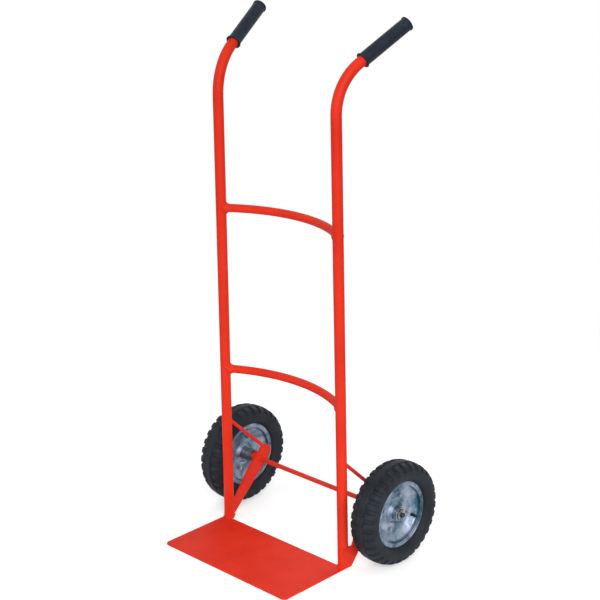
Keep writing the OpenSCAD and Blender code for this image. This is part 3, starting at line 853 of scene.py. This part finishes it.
@dataclass
class Grip:
    """A moulded handle grip: a rolled open end, a barrel with end rings and a rim at the closed end.

    Sizes are in mm and the start in metres. The barrel's points stop short of its ends by the barrel gaps.
    """

    side: Side
    start: np.ndarray
    axis: np.ndarray
    length: float = 139.5
    outer_d: float = 31.6
    rim_d: float = 37.0
    rim_w: float = 4.0
    rim_lift: float = 0.2
    bore_r: float = 12.8
    bore_start: float = 0.8
    bore_tip_r: float = 0.05
    cap_t: float = 6.0
    end_lip: float = 1.5
    end_w: float = 4.0
    end_round: float = 1.0
    barrel_gaps: Span = (0.6, 0.4)
    ring_count: int = 3
    ring_depth: float = 0.4
    ring_half_w: float = 0.9
    ring_margin: float = 6.0
    ring_pitch: float = 4.0
    rim_points: int = 13
    barrel_points: int = 160
    corner_points: int = 7
    turn_points: int = 72

    def profile(self) -> np.ndarray:
        """Outline of the grip from its bore round to its closed end.

        The rolled end is a half ellipse, and the closed end's rim has a quarter circle at each corner. A
        ring on the barrel is depth exp(-((distance - centre) / half width)^2).

        Returns:
            Distance along the grip and radius, one row a point.
        """
        outer = self.outer_d / 2
        bottom, barrel_end = self.length - self.cap_t, self.length - self.end_w
        bore = np.array([[bottom, self.bore_tip_r], [bottom, self.bore_r], [self.bore_start, self.bore_r]])
        turn = np.linspace(0, np.pi, self.rim_points)
        foot = outer + self.rim_lift
        rim_r = foot + (self.rim_d / 2 - foot) * np.sin(turn)
        rim = np.stack([self.rim_w / 2 * (1 - np.cos(turn)), rim_r], axis=1)
        first, last = self.rim_w + self.barrel_gaps[0], barrel_end - self.barrel_gaps[1]
        along = np.linspace(first, last, self.barrel_points)
        rings = sum(
            self.ring_depth * np.exp(-(((along - centre) / self.ring_half_w) ** 2))
            for offset in self.ring_margin + self.ring_pitch * np.arange(self.ring_count)
            for centre in (self.rim_w + offset, barrel_end - offset)
        )
        barrel = np.stack([along, outer - rings], axis=1)
        corner = np.linspace(0, np.pi / 2, self.corner_points)
        shoulder = outer + self.end_lip - self.end_round
        near, far = [barrel_end, shoulder], [self.length - self.end_round, shoulder]
        step_up = near + self.end_round * np.stack([1 - np.cos(corner), np.sin(corner)], axis=1)
        step_down = far + self.end_round * np.stack([np.sin(corner), np.cos(corner)], axis=1)
        return np.concatenate([bore, rim, barrel, step_up, step_down])

    def build(self, shop: Workshop) -> bpy.types.Object:
        """Makes the grip: its profile turned about the handle's axis.

        Args:
            shop: where the piece is dressed.

        Returns:
            The grip.
        """
        line = self.profile() * MM
        angle = np.linspace(0, 2 * np.pi, self.turn_points, endpoint=False)[:, None]
        first = unit(np.cross(self.axis, [0.0, 0.0, 1.0]))
        second = np.cross(self.axis, first)
        ring = np.cos(angle) * first + np.sin(angle) * second
        grid = self.start + line[:, None, 0:1] * self.axis + line[:, None, 1:2] * ring[None, :, :]
        piece = capped_tube(f"grip_moulding_{self.side.word}", grid)
        return shop.hand_over(piece, "frame", Finish.GRIP, (f"grip_{self.side.word}",))


@dataclass(frozen=True)
class WeldBead:
    """A bead of overlapping weld drops: radius and drop length in mm, the rest as shares of the radius."""

    radius: float
    drop_len: float = 3.0
    body: float = 0.92
    swell: float = 0.10
    drift: float = 0.03
    drift_rate: float = 7.3
    sides: int = 12

    def lay(self, shop: Workshop, name: str, path: np.ndarray, closed: bool = True) -> None:
        """Lays the bead along a path.

        Its radius is radius (body + swell |sin(pi t)| + drift sin(rate t)), and t grows by 1 with each drop.

        Args:
            shop: where the piece is dressed.
            name: the weld's name.
            path: the bead's middle line in mm, one row a point.
            closed: True where the path is a loop.
        """
        length = np.linalg.norm(np.diff(path, axis=0), axis=1).sum()
        t = np.linspace(0, length / self.drop_len, len(path), endpoint=not closed)
        share = self.body + self.swell * np.abs(np.sin(np.pi * t)) + self.drift * np.sin(self.drift_rate * t)
        outward = unit(path - path.mean(axis=0))
        bead = swept_bead(name, path * MM, outward, self.radius * share * MM, closed, self.sides)
        shop.hand_over(bead, "frame", Finish.PAINT)


@dataclass
class TruckFrame:
    """The welded frame's lines, in mm in the truck's own frame, with the grips and weld beads on them."""

    upright_spacing: float = 395.0
    upright_lean: float = 0.5
    upright_y: float = -15.25
    tube_d: float = 25.4
    bend_start_z: float = 1089.0
    bend_radius: float = 126.0
    bend_angle: float = 60.0
    handle_splay: float = 13.8
    grip_start: float = 7.5
    bar_d: float = 20.0
    bar_heights: Span = (818.0, 408.0)
    bar_bows: Span = (63.0, 55.0)
    bar_fillet: float = 2.2
    plate_t: float = 4.0
    plate_overhang: float = 9.5
    plate_setback: float = 5.0
    strut_t: float = 5.0
    strut_lean: float = 4.0
    brace_d: float = 9.0
    brace_top_z: float = 276.0
    brace_fall: float = 43.45
    axle_d: float = 12.0
    wide_bead: WeldBead = WeldBead(2.4)
    thin_bead: WeldBead = WeldBead(1.7)
    bead_lift: float = 0.4
    saddle_lift: float = 0.2
    path_points: int = 96

    def half_spacing(self, height: float) -> float:
        """Distance of an upright's middle line from the truck's middle at a height."""
        return self.upright_spacing / 2 - height * math.tan(math.radians(self.upright_lean))

    def upright_turn(self, side: Side) -> np.ndarray:
        """Rotation that leans a straight upright inwards.

        Args:
            side: which upright.

        Returns:
            A 3 by 3 rotation.
        """
        lean = math.radians(-self.upright_lean * side.value)
        cos, sin = math.cos(lean), math.sin(lean)
        return np.array([[cos, 0, sin], [0, 1, 0], [-sin, 0, cos]])

    def on_upright(self, side: Side, local: np.ndarray) -> np.ndarray:
        """Turns mm about an upright's foot, with +Z along its tube, into metres in the truck's frame."""
        foot = np.array([side.value * self.upright_spacing / 2, self.upright_y, 0.0])
        return (local @ self.upright_turn(side).T + foot) * MM

    def handle(self, side: Side) -> tuple[np.ndarray, np.ndarray]:
        """The start and direction of a handle after its bend.

        With the bend's angle b, radius r and outward direction o, the bend ends r (1 - cos b) along o and
        r sin b above its start, and the handle points along sin(b) o + cos(b) z.

        Args:
            side: which handle.

        Returns:
            The bend's end in metres and the handle's direction.
        """
        splay = math.radians(self.handle_splay)
        bend = math.radians(self.bend_angle)
        outward = np.array([side.value * math.sin(splay), math.cos(splay), 0.0])
        up = np.array([0.0, 0.0, 1.0])
        bent = (1 - math.cos(bend)) * outward + math.sin(bend) * up
        direction = math.sin(bend) * outward + math.cos(bend) * up
        end = self.on_upright(side, self.bend_start_z * up + self.bend_radius * bent)
        return end, self.upright_turn(side) @ direction

    def build_grips(self, shop: Workshop) -> None:
        """Makes the two grips on their handles.

        Args:
            shop: where pieces are dressed.
        """
        for side in Side:
            end, direction = self.handle(side)
            Grip(side, end + direction * self.grip_start * MM, direction).build(shop)

    def saddle(self, middle: np.ndarray, direction: np.ndarray, bar_r: float) -> np.ndarray:
        """The line where a round bar meets an upright.

        A point round the bar, q = r (cos(a) u + sin(a) v), is moved along the bar by the t for which it lies
        on the upright: the part of q + t d across the upright is as long as the upright's radius.

        Args:
            middle: where the two middle lines meet, in mm.
            direction: the bar's direction, away from the upright.
            bar_r: radius of the line round the bar.

        Returns:
            The line's points in mm.
        """
        u = unit(np.cross([0.0, 0.0, 1.0], direction))
        v = np.cross(direction, u)
        angle = np.linspace(0, 2 * np.pi, self.path_points, endpoint=False)[:, None]
        start = bar_r * (np.cos(angle) * u + np.sin(angle) * v)
        flat, level = start[:, :2], direction[:2]
        a, b = level @ level, flat @ level
        c = np.sum(flat**2, axis=1) - (self.tube_d / 2 + self.saddle_lift) ** 2
        t = (np.sqrt(np.maximum(b**2 - a * c, 0)) - b) / a
        return middle + start + t[:, None] * direction

    def build_bar_welds(self, shop: Workshop) -> None:
        """Lays a bead round each crossbar's end, where its fillet meets the upright.

        A bar is an arc of half chord h and bow w, so its radius is (h^2 + w^2) / 2w, and at its ends it
        slopes by the angle whose sine is h over that radius.

        Args:
            shop: where pieces are dressed.
        """
        for height, bow, level in zip(self.bar_heights, self.bar_bows, ("upper", "lower")):
            half = self.half_spacing(height)
            slope = math.asin(half / ((half**2 + bow**2) / (2 * bow)))
            for side in Side:
                middle = np.array([side.value * half, self.upright_y, height])
                direction = np.array([-side.value * math.cos(slope), math.sin(slope), 0.0])
                path = self.saddle(middle, direction, self.bar_d / 2 + self.bar_fillet)
                self.wide_bead.lay(shop, f"weld_{level}_bar_{side.word}", path)

    def build_brace_welds(self, shop: Workshop) -> None:
        """Lays a bead round the top of each brace rod, on the back of the upright.

        Args:
            shop: where pieces are dressed.
        """
        fall = math.radians(self.brace_fall)
        direction = np.array([0.0, math.cos(fall), -math.sin(fall)])
        half = self.half_spacing(self.brace_top_z)
        for side in Side:
            middle = np.array([side.value * half, self.upright_y, self.brace_top_z])
            path = self.saddle(middle, direction, self.brace_d / 2 + self.bead_lift)
            self.thin_bead.lay(shop, f"weld_brace_{side.word}", path)

    def build_axle_welds(self, shop: Workshop) -> None:
        """Lays a bead round the axle on the inner face of each strut.

        The face leans, so a point of the ring moves inwards by its height above the axle times tan(lean).

        Args:
            shop: where pieces are dressed.
        """
        lean = math.radians(self.strut_lean)
        wheel_joint = shop.frame["joints"][0]
        _, axle_y, axle_z = (value / MM for value in wheel_joint["pos_m"])
        outer_face = self.upright_spacing / 2 + self.plate_overhang - axle_z * math.tan(lean)
        inner_face = outer_face - self.strut_t / math.cos(lean)
        radius = self.axle_d / 2 + self.bead_lift
        angle = np.linspace(0, 2 * np.pi, self.path_points, endpoint=False)
        y, z = radius * np.cos(angle), radius * np.sin(angle)
        for side in Side:
            path = np.stack([side.value * (inner_face - z * math.tan(lean)), axle_y + y, axle_z + z], axis=1)
            self.thin_bead.lay(shop, f"weld_axle_{side.word}", path)

    def build_foot_welds(self, shop: Workshop) -> None:
        """Lays a bead round the front of each upright's foot, as far as the toe plate reaches under it.

        Args:
            shop: where pieces are dressed.
        """
        radius = self.tube_d / 2 + self.bead_lift
        first = math.acos(self.plate_overhang / radius)
        last = math.pi - math.asin(self.plate_setback / radius)
        angle = -np.linspace(first, last, self.path_points)
        x = self.upright_spacing / 2 + radius * np.cos(angle)
        y = self.upright_y + radius * np.sin(angle)
        z = np.full(len(angle), self.plate_t + self.bead_lift)
        for side in Side:
            path = np.stack([side.value * x, y, z], axis=1)
            self.wide_bead.lay(shop, f"weld_foot_{side.word}", path, closed=False)

    def build(self, shop: Workshop) -> None:
        """Makes the grips and all weld beads.

        Args:
            shop: where pieces are dressed.
        """
        self.build_grips(shop)
        self.build_bar_welds(shop)
        self.build_brace_welds(shop)
        self.build_axle_welds(shop)
        self.build_foot_welds(shop)


# ---------------------------------------------------------------- stage


@dataclass(frozen=True)
class Lamp:
    """A round soft lamp: its place and width in metres, its power, its aim and how wide it throws."""

    name: str
    place: Place
    size: float
    power: float
    aim: Place = (0.0, 0.0, 0.6)
    spread_degrees: float = 180.0

    def hang(self) -> None:
        """Puts the lamp into the scene, turned to its aim."""
        lamp = bpy.data.lights.new(self.name, "AREA")
        lamp.shape = "DISK"
        lamp.size = self.size
        lamp.energy = self.power
        lamp.spread = math.radians(self.spread_degrees)
        holder = bpy.data.objects.new(self.name, lamp)
        holder.location = self.place
        holder.rotation_euler = (Vector(self.aim) - Vector(self.place)).to_track_quat("-Z", "Y").to_euler()
        bpy.context.scene.collection.objects.link(holder)


@dataclass
class Studio:
    """A white floor, soft lamps and the camera. Places are in metres."""

    camera_place: Place = (2.4383, -2.41715, 1.7647)
    forward: Place = (-0.66649, 0.67552, -0.31537)
    roll_degrees: float = -0.98
    sensor_mm: float = 36.0
    lens_mm: float = 92.469
    view_reach: float = 100.0
    room_light: float = 0.50
    floor_size: float = 60.0
    floor_drop: float = 0.0005
    floor_grey: float = 0.80
    floor_glow: float = 0.42
    floor_fade: Span = (0.8, 1.9)
    lamps: tuple[Lamp, ...] = (
        Lamp("key_lamp", place=(2.8, -2.6, 2.4), size=2.4, power=136.0),
        Lamp("side_lamp", place=(-2.6, -2.2, 2.2), size=2.0, power=14.0),
        Lamp("back_lamp", place=(-1.0, 3.4, 2.6), size=2.4, power=34.0),
        Lamp(
            "wheel_lamp",
            place=(3.0, 0.2, 0.22),
            size=0.5,
            power=0.42,
            aim=(0.3, 0.1, 0.13),
            spread_degrees=30.0,
        ),
    )

    def place_camera(self) -> None:
        """Makes the camera and points it along its forward direction, turned by its roll."""
        camera = bpy.data.cameras.new("studio_camera")
        camera.sensor_width = self.sensor_mm
        camera.lens = self.lens_mm
        camera.clip_end = self.view_reach
        holder = bpy.data.objects.new("studio_camera", camera)
        forward = Vector(self.forward).normalized()
        right = forward.cross(Vector((0, 0, 1))).normalized()
        up = right.cross(forward)
        turn = math.radians(self.roll_degrees)
        side = right * math.cos(turn) + up * math.sin(turn)
        top = up * math.cos(turn) - right * math.sin(turn)
        pose = Matrix((side, top, -forward)).transposed().to_4x4()
        pose.translation = Vector(self.camera_place)
        holder.matrix_world = pose
        bpy.context.scene.collection.objects.link(holder)
        bpy.context.scene.camera = holder

    def seen_white(self, tree: bpy.types.NodeTree) -> Socket:
        """A number that is 1 for what the lens, a reflection or a clear piece sees, and 0 for other light.

        Args:
            tree: the node tree.

        Returns:
            The number's socket.
        """
        path = tree.nodes.new("ShaderNodeLightPath")
        seen = path.outputs["Is Camera Ray"]
        for ray in ("Is Glossy Ray", "Is Transmission Ray"):
            larger = tree.nodes.new("ShaderNodeMath")
            larger.operation = "MAXIMUM"
            tree.links.new(seen, larger.inputs[0])
            tree.links.new(path.outputs[ray], larger.inputs[1])
            seen = larger.outputs[0]
        return seen

    def light_world(self) -> None:
        """Fills the room with a grey light that the lens sees as white."""
        world = bpy.data.worlds.new("studio_world")
        world.use_nodes = True
        tree = world.node_tree
        background = tree.nodes["Background"]
        background.inputs["Color"].default_value = (1, 1, 1, 1)
        strength = tree.nodes.new("ShaderNodeMapRange")
        strength.inputs["To Min"].default_value = self.room_light
        tree.links.new(self.seen_white(tree), strength.inputs["Value"])
        tree.links.new(strength.outputs["Result"], background.inputs["Strength"])
        bpy.context.scene.world = world

    def floor_finish(self) -> bpy.types.Material:
        """A matt white that keeps a soft shadow near the truck and fades to plain white further out.

        Returns:
            The material.
        """
        material = bpy.data.materials.new("studio_floor")
        material.use_nodes = True
        tree = material.node_tree
        seen = self.seen_white(tree)
        matt = tree.nodes["Principled BSDF"]
        matt.inputs["Base Color"].default_value = (self.floor_grey, self.floor_grey, self.floor_grey, 1)
        matt.inputs["Roughness"].default_value = 1.0
        matt.inputs["Specular IOR Level"].default_value = 0.0
        matt.inputs["Emission Color"].default_value = (1, 1, 1, 1)
        glow = tree.nodes.new("ShaderNodeMapRange")
        glow.inputs["To Max"].default_value = self.floor_glow
        tree.links.new(seen, glow.inputs["Value"])
        tree.links.new(glow.outputs["Result"], matt.inputs["Emission Strength"])
        place = tree.nodes.new("ShaderNodeTexCoord")
        reach = tree.nodes.new("ShaderNodeVectorMath")
        reach.operation = "LENGTH"
        tree.links.new(place.outputs["Object"], reach.inputs[0])
        fade = tree.nodes.new("ShaderNodeMapRange")
        fade.interpolation_type = "SMOOTHSTEP"
        fade.inputs["From Min"].default_value, fade.inputs["From Max"].default_value = self.floor_fade
        tree.links.new(reach.outputs["Value"], fade.inputs["Value"])
        plain = tree.nodes.new("ShaderNodeEmission")
        tree.links.new(seen, plain.inputs["Strength"])
        mix = tree.nodes.new("ShaderNodeMixShader")
        tree.links.new(fade.outputs["Result"], mix.inputs["Fac"])
        tree.links.new(matt.outputs["BSDF"], mix.inputs[1])
        tree.links.new(plain.outputs["Emission"], mix.inputs[2])
        tree.links.new(mix.outputs["Shader"], tree.nodes["Material Output"].inputs["Surface"])
        return material

    def lay_floor(self) -> None:
        """Lays the floor: one square sheet just under the truck."""
        half, z = self.floor_size / 2, -self.floor_drop
        corners = np.array([[-half, -half, z], [half, -half, z], [half, half, z], [-half, half, z]])
        floor = build_mesh("studio_floor", corners, [np.array([[0, 1, 2, 3]])], False)
        floor.data.materials.append(self.floor_finish())

    def build(self) -> None:
        """Sets the whole stage."""
        self.place_camera()
        for lamp in self.lamps:
            lamp.hang()
        self.light_world()
        self.lay_floor()
        bpy.context.scene.view_settings.view_transform = "Standard"
        LOG.info("stage is set")


def main() -> None:
    """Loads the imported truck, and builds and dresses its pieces."""
    logging.basicConfig(level=logging.INFO, format="%(name)s: %(message)s")
    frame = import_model()
    Studio().build()
    shop = Workshop(frame, Wardrobe())
    shop.dress_nodes()
    centres = {joint["name"]: tuple(joint["pos_m"]) for joint in frame["joints"]}
    for side in Side:
        Tyre(side, centres[f"wheel_{side.word}_spin"]).build(shop)
    TruckFrame().build(shop)


if __name__ == "__main__":
    main()
